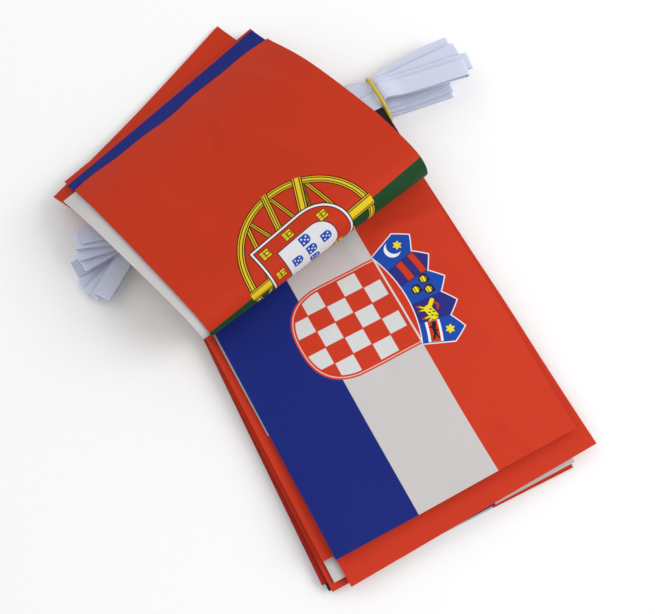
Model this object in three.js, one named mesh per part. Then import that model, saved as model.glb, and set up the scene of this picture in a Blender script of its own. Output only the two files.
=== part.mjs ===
import * as THREE from 'three';

// A bundle of string flag bunting, in millimetres, +Z up. Printed flags are sewn by their short side to
// one white header tape and stacked in a zigzag. The lower flags lie flat, the upper ones are folded back
// over them as a loose roll, and the tape stands out in loops at both ends of the header.
// X runs along the header, the flags' free ends point to -Y, and the loops at +X wear a rubber band.

// Cloth of every flag
const FLAG_WIDTH = 140;
const FLAG_LENGTH = 210;
const CLOTH = 1;
const GAP = 0.3;
const PITCH = CLOTH + GAP;

// Header tape
const TAPE_WIDTH = 10;
const TAPE_FROM_EDGE = GAP + TAPE_WIDTH / 2;

const radians = (degrees) => degrees * Math.PI / 180;
const round = (value) => Math.round(value * 1e4) / 1e4;
const ease = (value) => {
  const t = Math.min(Math.max(value, 0), 1);
  return t * t * (3 - 2 * t);
};
const mix = (a, b, t) => a + (b - a) * t;

// Lower flags from the floor up: turn in degrees, the place of the header's middle, and the width of the
// one that was cut wider
const LOWER_FLAGS = [
  { name: 'flag_black_yellow_red', colour: 0x2a2320, turn: 0.3, headX: 70.8, headY: 205 },
  { name: 'flag_green_left', colour: 0x2f7a45, turn: -2.1, headX: 67.85, headY: 196.6 },
  { name: 'flag_dark_red_left', colour: 0x9c2a20, turn: -2.1, headX: 66.1, headY: 200.6 },
  { name: 'flag_red_blue_white', colour: 0x2a3f8c, turn: -0.8, headX: 64.4, headY: 197 },
  { name: 'flag_white_corner', colour: 0xd8d6d4, turn: -0.3, headX: 65.5, headY: 201 },
  { name: 'flag_red_field', colour: 0xc43c22, turn: 1.26, headX: 68.6, headY: 197, width: 145 },
  { name: 'flag_red_left', colour: 0xc23a22, turn: -0.5, headX: 65.8, headY: 212 },
  { name: 'flag_white_third', colour: 0xd6d4d6, turn: 0.3, headX: 68.6, headY: 212 },
  { name: 'flag_red_white_blue', colour: 0xcb3f24, turn: 0, headX: 70, headY: 210 },
];

const BOW = [{ down: 140, out: 4.1 }, { down: 118, out: 5.4 }, { down: 68, out: 4.6 }];

// Folded flags from the outermost, whose lower arm is the lowest, to the innermost: turn in degrees, the
// header's middle along and across the fold, and how far the left and right corners of the free end fall
// short of the cloth's length, because it lies slack. The outermost one is pulled out at its right edge:
// `bow` gives places down that edge and how far each is pulled
const FOLDED_FLAGS = [
  {
    name: 'flag_green_red',
    colour: 0x24552f,
    turn: 3.7,
    along: 76.2,
    across: 68.5,
    slack: [9.5, 4.5],
    bow: BOW,
  },
  { name: 'flag_white', colour: 0xdcdadc, turn: 5.7, along: 74.7, across: 70.5, slack: [9, 11] },
  { name: 'flag_blue_edge', colour: 0x27347c, turn: 4.1, along: 76.9, across: 66.6, slack: [7.5, 0.5] },
  { name: 'flag_red_edge', colour: 0xc23a24, turn: 3.8, along: 76.1, across: 66, slack: [9, 3] },
  { name: 'flag_long_red', colour: 0xc64024, turn: 10, along: 86.3, across: 60.6, slack: [12.5, 2.5] },
];

const LAYERS = LOWER_FLAGS.length + FOLDED_FLAGS.length;
const STACK_HEIGHT = LAYERS * PITCH - GAP;

function clothMaterial(colour) {
  return new THREE.MeshStandardMaterial({ color: colour, roughness: 0.8, metalness: 0 });
}

function solidFrom(points, triangles) {
  const geometry = new THREE.BufferGeometry();
  const positions = points.flatMap((p) => [round(p.x), round(p.y), round(p.z)]);
  geometry.setAttribute('position', new THREE.Float32BufferAttribute(positions, 3));
  geometry.setIndex(triangles);
  geometry.computeVertexNormals();
  return geometry;
}

// Keeps the part of a polygon that lies to the left of the line from a to b
function cutByLine(polygon, a, b) {
  const side = (p) => (b.x - a.x) * (p.y - a.y) - (b.y - a.y) * (p.x - a.x);
  const kept = [];
  polygon.forEach((current, i) => {
    const next = polygon[(i + 1) % polygon.length];
    const here = side(current);
    const there = side(next);
    if (here >= 0) kept.push(current);
    if (here * there < 0) {
      kept.push(current.clone().lerp(next, here / (here - there)));
    }
  });
  return kept;
}

// A rectangle of cloth laid on a grid of rows and columns. The grid bends, the cloth's edges are cut
// straight across its cells, and node(row, column, face) gives a grid point on either face of the cloth.
function clothOnGrid(corners, rows, columns, node) {
  const flat = [];
  const lower = [];
  const upper = [];
  const faces = [];
  const indexOf = new Map();

  const cellFaces = (triangle) => {
    const places = triangle.map(([r, c]) => new THREE.Vector2(columns[c], rows[r]));
    let piece = places;
    corners.forEach((corner, i) => {
      piece = piece.length ? cutByLine(piece, corner, corners[(i + 1) % corners.length]) : piece;
    });
    if (piece.length < 3) return;
    const [a, b, c] = places;
    const area = (p, q, s) => (q.x - p.x) * (s.y - p.y) - (q.y - p.y) * (s.x - p.x);
    const whole = area(a, b, c);
    const ring = piece.map((p) => {
      const key = `${Math.round(p.x * 1e3)} ${Math.round(p.y * 1e3)}`;
      if (!indexOf.has(key)) {
        const share = [area(p, b, c) / whole, area(a, p, c) / whole, area(a, b, p) / whole];
        const onFace = (face) => triangle.reduce(
          (sum, [r, col], k) => sum.addScaledVector(node(r, col, face), share[k]),
          new THREE.Vector3(),
        );
        indexOf.set(key, flat.length);
        flat.push(p);
        lower.push(onFace(0));
        upper.push(onFace(1));
      }
      return indexOf.get(key);
    });
    const clean = ring.filter((index, i) => index !== ring[(i + 1) % ring.length]);
    if (clean.length >= 3) faces.push(clean);
  };

  for (let r = 0; r < rows.length - 1; r += 1) {
    for (let c = 0; c < columns.length - 1; c += 1) {
      cellFaces([[r, c], [r, c + 1], [r + 1, c + 1]]);
      cellFaces([[r, c], [r + 1, c + 1], [r + 1, c]]);
    }
  }

  const count = flat.length;
  const triangles = [];
  const edges = new Set();
  faces.forEach((face) => {
    for (let i = 1; i < face.length - 1; i += 1) {
      triangles.push(face[0] + count, face[i] + count, face[i + 1] + count);
      triangles.push(face[0], face[i + 1], face[i]);
    }
    face.forEach((index, i) => edges.add(`${index} ${face[(i + 1) % face.length]}`));
  });
  edges.forEach((edge) => {
    const [a, b] = edge.split(' ').map(Number);
    if (!edges.has(`${b} ${a}`)) {
      triangles.push(a, b, b + count, a, b + count, a + count);
    }
  });
  return solidFrom([...lower, ...upper], triangles);
}

const widthOf = (flag) => flag.width ?? FLAG_WIDTH;

// Corners of a flag, counter-clockwise, from its header's middle. The free end lies toward `end`
function flagCorners(flag, middleX, middleY, end) {
  const along = new THREE.Vector2(1, 0).rotateAround(new THREE.Vector2(), radians(flag.turn));
  const down = new THREE.Vector2(0, end).rotateAround(new THREE.Vector2(), radians(flag.turn));
  const corner = (side, drop) => new THREE.Vector2(middleX, middleY)
    .addScaledVector(along, side * widthOf(flag) / 2)
    .addScaledVector(down, drop);
  const [leftSlack, rightSlack] = flag.slack ?? [0, 0];
  const bow = (flag.bow ?? []).map(({ down: place, out }) => corner(1 + 2 * out / widthOf(flag), place));
  const ring = [
    corner(-1, 0),
    corner(-1, FLAG_LENGTH - leftSlack),
    corner(1, FLAG_LENGTH - rightSlack),
    ...bow,
    corner(1, 0),
  ];
  return end < 0 ? ring : ring.reverse();
}

function gridLines(from, to, cells) {
  return Array.from({ length: cells + 1 }, (_, i) => mix(from, to, i / cells));
}

// Lower flags: flat under the roll, with soft waves toward the free end that grow up the stack
const WAVE_STARTS = 128;
const WAVE_FULL = 60;
const WAVE_GROWTH = 0.14;
const ROW_WAVE = { length: 118, slant: 0.35, crest: 12 };
const COLUMN_WAVE = { length: 96, slant: -0.3, share: 0.5 };
const LOWER_ROWS = [...gridLines(-25.3, WAVE_STARTS, 9), 232];
const LOWER_COLUMNS = gridLines(-21.7, 161.3, 10);

function waveHeight(x, y) {
  const rowPlace = (y + ROW_WAVE.slant * x - ROW_WAVE.crest) / ROW_WAVE.length;
  const columnPlace = (x + COLUMN_WAVE.slant * y) / COLUMN_WAVE.length;
  const rows = 1 + Math.cos(2 * Math.PI * rowPlace);
  const columns = 1 + COLUMN_WAVE.share * Math.cos(2 * Math.PI * columnPlace);
  return rows * columns * ease((WAVE_STARTS - y) / (WAVE_STARTS - WAVE_FULL));
}

function lowerFlag(flag, layer) {
  const corners = flagCorners(flag, flag.headX, flag.headY, -1);
  const node = (r, c, face) => {
    const x = LOWER_COLUMNS[c];
    const y = LOWER_ROWS[r];
    const wave = layer * WAVE_GROWTH * waveHeight(x, y);
    return new THREE.Vector3(x, y, layer * PITCH + face * CLOTH + wave);
  };
  return clothOnGrid(corners, LOWER_ROWS, LOWER_COLUMNS, node);
}

// The loose roll. Its fold line is turned against the header, and the flags' inner faces follow one
// profile across the fold: out from under the header, round the bend, back over it and down to the floor
const FOLD_X = -3.9;
const FOLD_Y = 128.1;
const FOLD_TURN = radians(10.3);
const FOLDED = FOLDED_FLAGS.length;
const ROLL_THICKNESS = FOLDED * PITCH - GAP;
const BEND_INSIDE = 6.65;
const BEND_ACROSS = BEND_INSIDE + ROLL_THICKNESS;
const BEND_STEPS = 9;
const HEADER_END = 108;
const ARM_BOTTOM = LOWER_FLAGS.length * PITCH;
const UPPER_ARM = [
  { length: 20, descent: 6 },
  { length: 20, descent: 6.5 },
  { length: 20, descent: 7.5 },
  { length: 15, descent: 9 },
  { length: 8, descent: 14 },
  { length: 8, descent: 21 },
  { length: null, descent: 28 },
  { length: 7, descent: 19 },
  { length: 7, descent: 9 },
  { length: 36, descent: 0 },
];
const FOLD_COLUMNS = gridLines(-30.4, 176.2, 6);

// Inner profile as (across, height) points. The steep stretch is as long as it takes to meet the floor
function rollProfile() {
  const insideHeight = ARM_BOTTOM + ROLL_THICKNESS;
  const points = [new THREE.Vector2(HEADER_END, insideHeight)];
  const middle = new THREE.Vector2(BEND_ACROSS, insideHeight + BEND_INSIDE);
  const turned = 180 + UPPER_ARM[0].descent;
  for (let step = 0; step <= BEND_STEPS; step += 1) {
    const angle = radians(turned * step / BEND_STEPS);
    const out = new THREE.Vector2(-Math.sin(angle), -Math.cos(angle));
    points.push(out.multiplyScalar(BEND_INSIDE).add(middle));
  }
  const drop = (row) => (row.length ?? 0) * Math.sin(radians(row.descent));
  const steep = UPPER_ARM.find((row) => row.length === null);
  const dropLeft = points.at(-1).y - UPPER_ARM.reduce((sum, row) => sum + drop(row), 0);
  const steepLength = dropLeft / Math.sin(radians(steep.descent));
  UPPER_ARM.forEach((row) => {
    const length = row.length ?? steepLength;
    const step = new THREE.Vector2(Math.cos(radians(row.descent)), -Math.sin(radians(row.descent)));
    points.push(points.at(-1).clone().addScaledVector(step, length));
  });
  return points;
}

// Outward direction at each profile point, lengthened so that offset stretches stay parallel
function outwardSteps(points) {
  const normals = points.slice(1).map((p, i) => {
    const step = p.clone().sub(points[i]).normalize();
    return new THREE.Vector2(-step.y, step.x);
  });
  return points.map((_, i) => {
    const before = normals[Math.max(i - 1, 0)];
    const after = normals[Math.min(i, normals.length - 1)];
    const sum = before.clone().add(after);
    return sum.multiplyScalar(2 / sum.lengthSq());
  });
}

const PROFILE = rollProfile();
const OUTWARD = outwardSteps(PROFILE);

// The upper arm swells a little along the fold, the same in every layer. It rises from `near` to `far`
// across the fold, and is highest at `crest` along it
const SWELL = { height: 1.6, near: 5, rise: 30, far: 112, fall: 40, crest: 108, length: 130 };
function swellHeight(row, along) {
  const place = PROFILE[row].x;
  const onUpperArm = row > BEND_STEPS / 2 + 1 ? 1 : 0;
  const across = ease((place - SWELL.near) / SWELL.rise) * ease((SWELL.far - place) / SWELL.fall);
  const lengthwise = (1 + Math.cos(2 * Math.PI * (along - SWELL.crest) / SWELL.length)) / 2;
  return onUpperArm * SWELL.height * across * lengthwise;
}

function onFold(along, across, height) {
  const x = FOLD_X + along * Math.cos(FOLD_TURN) - across * Math.sin(FOLD_TURN);
  const y = FOLD_Y + along * Math.sin(FOLD_TURN) + across * Math.cos(FOLD_TURN);
  return new THREE.Vector3(x, y, height);
}

function foldedFlag(flag, layer) {
  const inside = (FOLDED - 1 - layer) * PITCH;
  const middle = PROFILE.map((p, i) => p.clone().addScaledVector(OUTWARD[i], inside + CLOTH / 2));
  const rows = [0];
  middle.slice(1).forEach((p, i) => rows.push(rows[i] + p.distanceTo(middle[i])));
  const corners = flagCorners(flag, flag.along, HEADER_END - flag.across, 1);
  const node = (r, c, face) => {
    const place = PROFILE[r].clone().addScaledVector(OUTWARD[r], inside + face * CLOTH);
    const along = FOLD_COLUMNS[c];
    return onFold(along, place.x, place.y + swellHeight(r, along));
  };
  return clothOnGrid(corners, rows, FOLD_COLUMNS, node);
}

// Header edge of a flag: its middle, half its width, and the ways along it and from the cloth to its tape
function headerEdge(flag, middle, angle) {
  const along = new THREE.Vector2(Math.cos(angle), Math.sin(angle));
  const away = new THREE.Vector2(-along.y, along.x);
  return { middle, half: widthOf(flag) / 2, along, away };
}

function headerEdges() {
  const lower = LOWER_FLAGS.map((flag) => headerEdge(
    flag,
    new THREE.Vector2(flag.headX, flag.headY),
    radians(flag.turn),
  ));
  const folded = FOLDED_FLAGS.map((flag) => {
    const place = onFold(flag.along, flag.across, 0);
    return headerEdge(flag, new THREE.Vector2(place.x, place.y), FOLD_TURN - radians(flag.turn));
  });
  return [...lower, ...folded];
}

// The tape's bundles beside the header. Every run lies flat in its own layer. It goes from the header's end
// to the bundle's neck, and from there to the tip of its loop. It stays square to the header up to
// `squareTo` and then turns to its own heading. Beside the header at +X it climbs over the rubber band's
// lower side, from `climbFrom` over `climb`, and comes down again over `descend`
const BUNDLES = {
  right: { side: 1, neck: 144.6, squareTo: 156.6, lift: 1.9, climbFrom: 140.3, climb: 4.3, descend: 12 },
  left: { side: -1, neck: -26, squareTo: -16, lift: 0, climbFrom: 0, climb: 1, descend: 1 },
};
const NECK_STEPS = 5;
const CLIMB_STEPS = 5;
const DESCEND_STEPS = 4;
const LEG_STEPS = 4;
const TIP_STEPS = 4;
const TURN_LENGTH = 10;

// Rubber band round the loops at +X. It leans so that its upper side is nearer the header
const BAND_WIDTH = 1.6;
const BAND_THICKNESS = 0.8;
const BAND_X = 142.9;
const BAND_Z = 10.5;
const BAND_LEAN = 12;
const BAND_CLEAR = 0.7;

// Loops from the lowest pair of tape runs up: where the middle of the tape crosses the neck, its tip, and
// for a curved loop its heading toward +Y in degrees at the neck and at the tip. `open` raises the upper
// run at the tip
const RIGHT_LOOPS = [
  { neckY: 207.8, tipX: 183.5, tipY: 202.2, open: 0 },
  { neckY: 208.5, tipX: 184, tipY: 204.4, open: 0 },
  { neckY: 210.2, tipX: 184, tipY: 208.2, open: 0 },
  { neckY: 219.8, tipX: 194.5, tipY: 223.7, leave: 17, arrive: -5, open: 0 },
  { neckY: 217.8, tipX: 195.5, tipY: 217.5, open: 0 },
  { neckY: 215.5, tipX: 197.5, tipY: 207.5, open: 0 },
  { neckY: 212, tipX: 191.6, tipY: 203, open: 1.6 },
];
const LEFT_LOOPS = [
  { neckY: 196, tipX: -49.5, tipY: 191.8, open: 0 },
  { neckY: 194, tipX: -47.5, tipY: 186, open: 0 },
  { neckY: 193.1, tipX: -43, tipY: 181.5, open: 0 },
  { neckY: 203.1, tipX: -44.4, tipY: 201.7, open: 0 },
  { neckY: 204.4, tipX: -44, tipY: 207.5, open: 0 },
  { neckY: 207, tipX: -42, tipY: 213, open: 0 },
];
const LOWEST_END = { neckY: 205.6, tipX: -50.2, tipY: 204.5, open: 0 };
const HIGHEST_END = { neckY: 210.3, tipX: -39, tipY: 214, open: 0 };

// Cubic from one value to another, with a given slope at each end
function curveBetween(from, to, slopeFrom, slopeTo, length, t) {
  const a = 2 * t ** 3 - 3 * t ** 2 + 1;
  const b = t ** 3 - 2 * t ** 2 + t;
  const c = -2 * t ** 3 + 3 * t ** 2;
  const d = t ** 3 - t ** 2;
  return a * from + b * length * slopeFrom + c * to + d * length * slopeTo;
}

function liftAt(bundle, x) {
  const past = bundle.side * (x - bundle.climbFrom);
  return bundle.lift * ease(past / bundle.climb) * (1 - ease((past - bundle.climb) / bundle.descend));
}

// Where a run of tape leaves the header, no farther out than the start of the climb
function headerExit(bundle, edge) {
  const place = edge.middle.clone()
    .addScaledVector(edge.along, bundle.side * edge.half)
    .addScaledVector(edge.away, TAPE_FROM_EDGE);
  const over = Math.max(bundle.side * (place.x - bundle.climbFrom), 0);
  return place.addScaledVector(edge.along, -bundle.side * (bundle.lift > 0 ? over : 0));
}

// A run's way out from the header to the start of its tip. `rises` opens the tip
function legFrames(bundle, run, loop, edge, rises) {
  const { side, neck } = bundle;
  const exit = headerExit(bundle, edge);
  const away = side * (loop.tipX - neck);
  const straight = side * (loop.tipY - loop.neckY) / away;
  const heading = (turn) => (turn === undefined ? straight * side : side * Math.tan(radians(turn)));
  const leave = side * heading(loop.leave);
  const arrive = side * heading(loop.arrive);
  const exitSlope = edge.along.y / edge.along.x;
  const yAt = (x) => {
    const past = side * (x - neck);
    if (past <= 0) {
      const length = neck - exit.x;
      return curveBetween(exit.y, loop.neckY, exitSlope, leave, length, (x - exit.x) / length);
    }
    return curveBetween(loop.neckY, loop.tipY, leave, arrive, loop.tipX - neck, past / away);
  };
  const climbed = bundle.climbFrom + side * bundle.climb;
  const landed = climbed + side * bundle.descend;
  const stops = bundle.lift > 0
    ? [
      ...gridLines(exit.x, bundle.climbFrom, 3).slice(1),
      ...gridLines(bundle.climbFrom, climbed, CLIMB_STEPS).slice(1),
      ...gridLines(climbed, landed, DESCEND_STEPS).slice(1),
      ...gridLines(landed, loop.tipX, LEG_STEPS).slice(1),
    ]
    : [
      ...gridLines(exit.x, neck, NECK_STEPS).slice(1),
      ...gridLines(neck, loop.tipX, LEG_STEPS + 1).slice(1),
    ];
  return stops.filter((x) => side * (x - exit.x) > 0.2).map((x) => {
    const slope = (yAt(x + 0.05) - yAt(x - 0.05)) / 0.1;
    const turned = ease(side * (x - bundle.squareTo) / TURN_LENGTH);
    const flared = ease((x - bundle.squareTo) / (loop.tipX - bundle.squareTo));
    const z = run * PITCH + CLOTH / 2 + liftAt(bundle, x) + (rises ? loop.open * flared : 0);
    return {
      centre: new THREE.Vector3(x, yAt(x), z),
      across: new THREE.Vector3(-slope * turned, 1, 0).normalize(),
      level: true,
    };
  });
}

// The round end of a loop, from the end of its lower leg to the end of its upper one
function tipFrames(lower, before, upper) {
  const out = lower.centre.clone().sub(before.centre).setZ(0).normalize();
  const middle = lower.centre.clone().lerp(upper.centre, 0.5);
  const radius = (upper.centre.z - lower.centre.z) / 2;
  return gridLines(0, 180, TIP_STEPS).slice(1, -1).map((turn) => {
    const centre = middle.clone()
      .addScaledVector(out, radius * Math.sin(radians(turn)))
      .add(new THREE.Vector3(0, 0, -radius * Math.cos(radians(turn))));
    return { centre, across: lower.across };
  });
}

// The tape's route: run after run along the header, joined by loops, right and left in turn
function tapeFrames() {
  const edges = headerEdges();
  const frames = [];
  const headerFrame = (run, bundle) => {
    const { away } = edges[run];
    const place = headerExit(bundle, edges[run]);
    return {
      centre: new THREE.Vector3(place.x, place.y, run * PITCH + CLOTH / 2),
      across: new THREE.Vector3(away.x, away.y, 0),
      level: true,
    };
  };
  const join = (bundle, run, loop) => {
    const out = legFrames(bundle, run, loop, edges[run], false);
    const back = legFrames(bundle, run + 1, loop, edges[run + 1], true);
    frames.push(...out, ...tipFrames(out.at(-1), out.at(-2), back.at(-1)), ...back.reverse());
  };
  const freeEnd = (bundle, run, loop) => legFrames(bundle, run, loop, edges[run], false);

  frames.push(...freeEnd(BUNDLES.left, 0, LOWEST_END).reverse());
  for (let run = 0; run < LAYERS; run += 1) {
    const goesRight = run % 2 === 0;
    const ends = goesRight ? [BUNDLES.left, BUNDLES.right] : [BUNDLES.right, BUNDLES.left];
    ends.forEach((bundle) => frames.push(headerFrame(run, bundle)));
    if (run === LAYERS - 1) break;
    if (goesRight) join(BUNDLES.right, run, RIGHT_LOOPS[run / 2]);
    else join(BUNDLES.left, run, LEFT_LOOPS[(run - 1) / 2]);
  }
  frames.push(...freeEnd(BUNDLES.left, LAYERS - 1, HIGHEST_END));
  return frames;
}

// A flat band swept along frames, closed at both ends. A level frame has its thickness straight up, so that
// runs stacked on each other keep their gap where they climb
function bandSolid(frames, width, thickness) {
  const points = [];
  frames.forEach((frame, i) => {
    const before = frames[Math.max(i - 1, 0)].centre;
    const after = frames[Math.min(i + 1, frames.length - 1)].centre;
    const into = frame.centre.clone().sub(before).normalize();
    const out = after.clone().sub(frame.centre).normalize();
    const heading = into.clone().add(out);
    const mitre = heading.length() / 2;
    const up = heading.normalize().cross(frame.across).normalize();
    if (frame.level) up.set(0, 0, Math.sign(up.z));
    const lift = thickness / 2 / (frame.level ? 1 : mitre);
    const corner = (side, face) => frame.centre.clone()
      .addScaledVector(frame.across, side * width / 2)
      .addScaledVector(up, face * lift);
    points.push(corner(-1, -1), corner(1, -1), corner(1, 1), corner(-1, 1));
  });
  const triangles = [];
  const corners = 4;
  for (let i = 0; i < frames.length - 1; i += 1) {
    for (let k = 0; k < corners; k += 1) {
      const a = i * corners + k;
      const b = i * corners + (k + 1) % corners;
      const ring = [a, b, b + corners, a + corners];
      const top = ring.reduce((best, index, at) => (points[index].z > points[ring[best]].z ? at : best), 0);
      const [first, second, third, fourth] = [0, 1, 2, 3].map((at) => ring[(top + at) % ring.length]);
      triangles.push(first, second, third, first, third, fourth);
    }
  }
  const last = (frames.length - 1) * corners;
  triangles.push(0, 2, 1, 0, 3, 2);
  triangles.push(last, last + 1, last + 2, last, last + 2, last + 3);
  return solidFrom(points, triangles);
}

// Corners of the runs of tape where the leaning band goes round them, in the band's own plane
function tapeAtBand() {
  const lean = radians(BAND_LEAN);
  return headerEdges().flatMap((edge, run) => {
    const loop = RIGHT_LOOPS[Math.floor(run / 2)];
    return legFrames(BUNDLES.right, run, loop, edge, false).filter(({ centre }) => {
      const bandX = BAND_X - (centre.z - BAND_Z) * Math.tan(lean);
      return Math.abs(centre.x - bandX) < BAND_WIDTH;
    }).flatMap(({ centre }) => [-1, 1].flatMap((side) => [-1, 1].map((face) => new THREE.Vector2(
      centre.y + side * TAPE_WIDTH / 2,
      (centre.z + face * CLOTH / 2 - BAND_Z) / Math.cos(lean),
    ))));
  });
}

// The tightest outline round a set of points, counter-clockwise
function outlineAround(points) {
  const sorted = [...points].sort((a, b) => a.x - b.x || a.y - b.y);
  const half = (list) => {
    const kept = [];
    list.forEach((p) => {
      const turnsRight = (a, b) => (b.x - a.x) * (p.y - a.y) - (b.y - a.y) * (p.x - a.x) <= 1e-6;
      while (kept.length > 1 && turnsRight(kept.at(-2), kept.at(-1))) kept.pop();
      kept.push(p);
    });
    return kept.slice(0, -1);
  };
  return [...half(sorted), ...half(sorted.reverse())];
}

// A taut loop that keeps a set distance from an outline and rounds its corners
function tautLoop(outline, distance) {
  const shape = new THREE.Shape();
  const facing = (a, b) => Math.atan2(a.x - b.x, b.y - a.y);
  outline.forEach((corner, i) => {
    const before = outline[(i + outline.length - 1) % outline.length];
    const after = outline[(i + 1) % outline.length];
    shape.absarc(corner.x, corner.y, distance, facing(before, corner), facing(corner, after), false);
  });
  shape.closePath();
  return shape;
}

// The band is stretched round the runs of tape, clear of them by a small gap
function rubberBand() {
  const outline = outlineAround(tapeAtBand());
  const shape = tautLoop(outline, BAND_CLEAR + BAND_THICKNESS);
  shape.holes.push(tautLoop(outline, BAND_CLEAR));
  const geometry = new THREE.ExtrudeGeometry(shape, {
    depth: BAND_WIDTH,
    curveSegments: 2,
    bevelEnabled: false,
  });
  geometry.translate(0, 0, -BAND_WIDTH / 2);
  const rubber = new THREE.MeshStandardMaterial({ color: 0xcdb81e, roughness: 0.55 });
  const band = new THREE.Mesh(geometry, rubber);
  const across = new THREE.Vector3(0, 1, 0);
  const up = new THREE.Vector3(0, 0, 1).applyAxisAngle(across, -radians(BAND_LEAN));
  const basis = new THREE.Matrix4().makeBasis(across, up, across.clone().cross(up));
  band.quaternion.setFromRotationMatrix(basis);
  band.position.set(BAND_X, 0, BAND_Z);
  return band;
}

const bunting = new THREE.Group();

LOWER_FLAGS.forEach((flag, layer) => {
  const mesh = new THREE.Mesh(lowerFlag(flag, layer), clothMaterial(flag.colour));
  mesh.name = flag.name;
  bunting.add(mesh);
});

FOLDED_FLAGS.forEach((flag, layer) => {
  const mesh = new THREE.Mesh(foldedFlag(flag, layer), clothMaterial(flag.colour));
  mesh.name = flag.name;
  bunting.add(mesh);
});

const tape = new THREE.Mesh(bandSolid(tapeFrames(), TAPE_WIDTH, CLOTH), clothMaterial(0xcfd2e0));
tape.name = 'header_tape';
bunting.add(tape);

const band = rubberBand();
band.name = 'rubber_band';
bunting.add(band);

// The origin is the middle of the bundle's bounds, on the surface that it lies on
const bounds = new THREE.Box3().setFromObject(bunting, true);
const middle = bounds.getCenter(new THREE.Vector3());
bunting.position.set(-middle.x, -middle.y, -bounds.min.z);

export default bunting;
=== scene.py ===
import math

import bpy
import numpy as np
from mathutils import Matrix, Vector


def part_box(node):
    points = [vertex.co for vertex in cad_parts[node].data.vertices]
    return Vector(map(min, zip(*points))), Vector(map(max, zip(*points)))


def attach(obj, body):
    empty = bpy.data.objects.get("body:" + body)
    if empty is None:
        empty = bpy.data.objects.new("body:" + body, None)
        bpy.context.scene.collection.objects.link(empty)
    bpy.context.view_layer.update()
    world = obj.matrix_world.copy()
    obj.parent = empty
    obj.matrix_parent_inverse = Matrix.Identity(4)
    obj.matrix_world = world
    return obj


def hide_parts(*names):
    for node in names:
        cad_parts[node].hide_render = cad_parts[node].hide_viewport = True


# String flag bunting, put away. Fourteen polyester flags, printed right through, are sewn by their short
# side under one white ribbon. They are stacked in a zigzag, the upper five folded back over the rest as
# a loose roll, and the ribbon between them stands out in loops at both ends, held by a rubber band.

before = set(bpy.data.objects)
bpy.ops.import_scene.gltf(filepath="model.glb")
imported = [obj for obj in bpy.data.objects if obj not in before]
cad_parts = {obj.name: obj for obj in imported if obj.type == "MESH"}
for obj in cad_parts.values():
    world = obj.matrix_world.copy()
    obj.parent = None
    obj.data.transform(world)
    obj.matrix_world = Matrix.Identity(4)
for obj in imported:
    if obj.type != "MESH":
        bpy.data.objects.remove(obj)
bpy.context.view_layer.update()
mm = 0.001


# Room: a plain white sheet of card under the stack, with a camera high above it and a soft studio light.

# The flat stack's own corner, from which all places on the flags are counted
stack_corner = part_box("flag_red_white_blue")[0]
stack_corner = Vector((stack_corner.x, stack_corner.y, 0))

LOOKS_AT = stack_corner + Vector((60.65, 120.96, 0)) * mm
CAMERA_AWAY = 636.41 * mm
CAMERA_AZIMUTH = math.radians(-28.426)
CAMERA_ELEVATION = math.radians(72.053)
CAMERA_LENS = 65.03

bpy.ops.object.select_all(action="DESELECT")
bpy.ops.object.camera_add()
camera = bpy.context.object
camera.name = "camera"
away = Vector((
    math.sin(CAMERA_AZIMUTH) * math.cos(CAMERA_ELEVATION),
    -math.cos(CAMERA_AZIMUTH) * math.cos(CAMERA_ELEVATION),
    math.sin(CAMERA_ELEVATION),
))
camera.location = LOOKS_AT + away * CAMERA_AWAY
camera.rotation_euler = away.to_track_quat("Z", "Y").to_euler()
camera.data.sensor_fit = "HORIZONTAL"
camera.data.sensor_width = 36
camera.data.lens = CAMERA_LENS
bpy.context.scene.camera = camera


def lamp(name, place, size, power, colour):
    """A square soft box that faces the flags"""
    bpy.ops.object.light_add(type="AREA", location=place)
    light = bpy.context.object
    light.name = name
    light.data.size = size
    light.data.energy = power
    light.data.color = colour
    light.rotation_euler = Vector(place).to_track_quat("Z", "Y").to_euler()


lamp("window_light", (1.15, -0.6, 1.05), 1.0, 15, (1.0, 0.98, 0.96))
lamp("far_light", (-0.7, 1.1, 1.5), 1.2, 3, (0.95, 0.97, 1.0))

SKY_STRENGTH = 0.72

sky = bpy.data.worlds.new("studio")
sky.use_nodes = True
sky.node_tree.nodes["Background"].inputs["Color"].default_value = (1.0, 1.0, 1.0, 1.0)
sky.node_tree.nodes["Background"].inputs["Strength"].default_value = SKY_STRENGTH
bpy.context.scene.world = sky
bpy.context.scene.view_settings.view_transform = "Standard"


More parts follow.
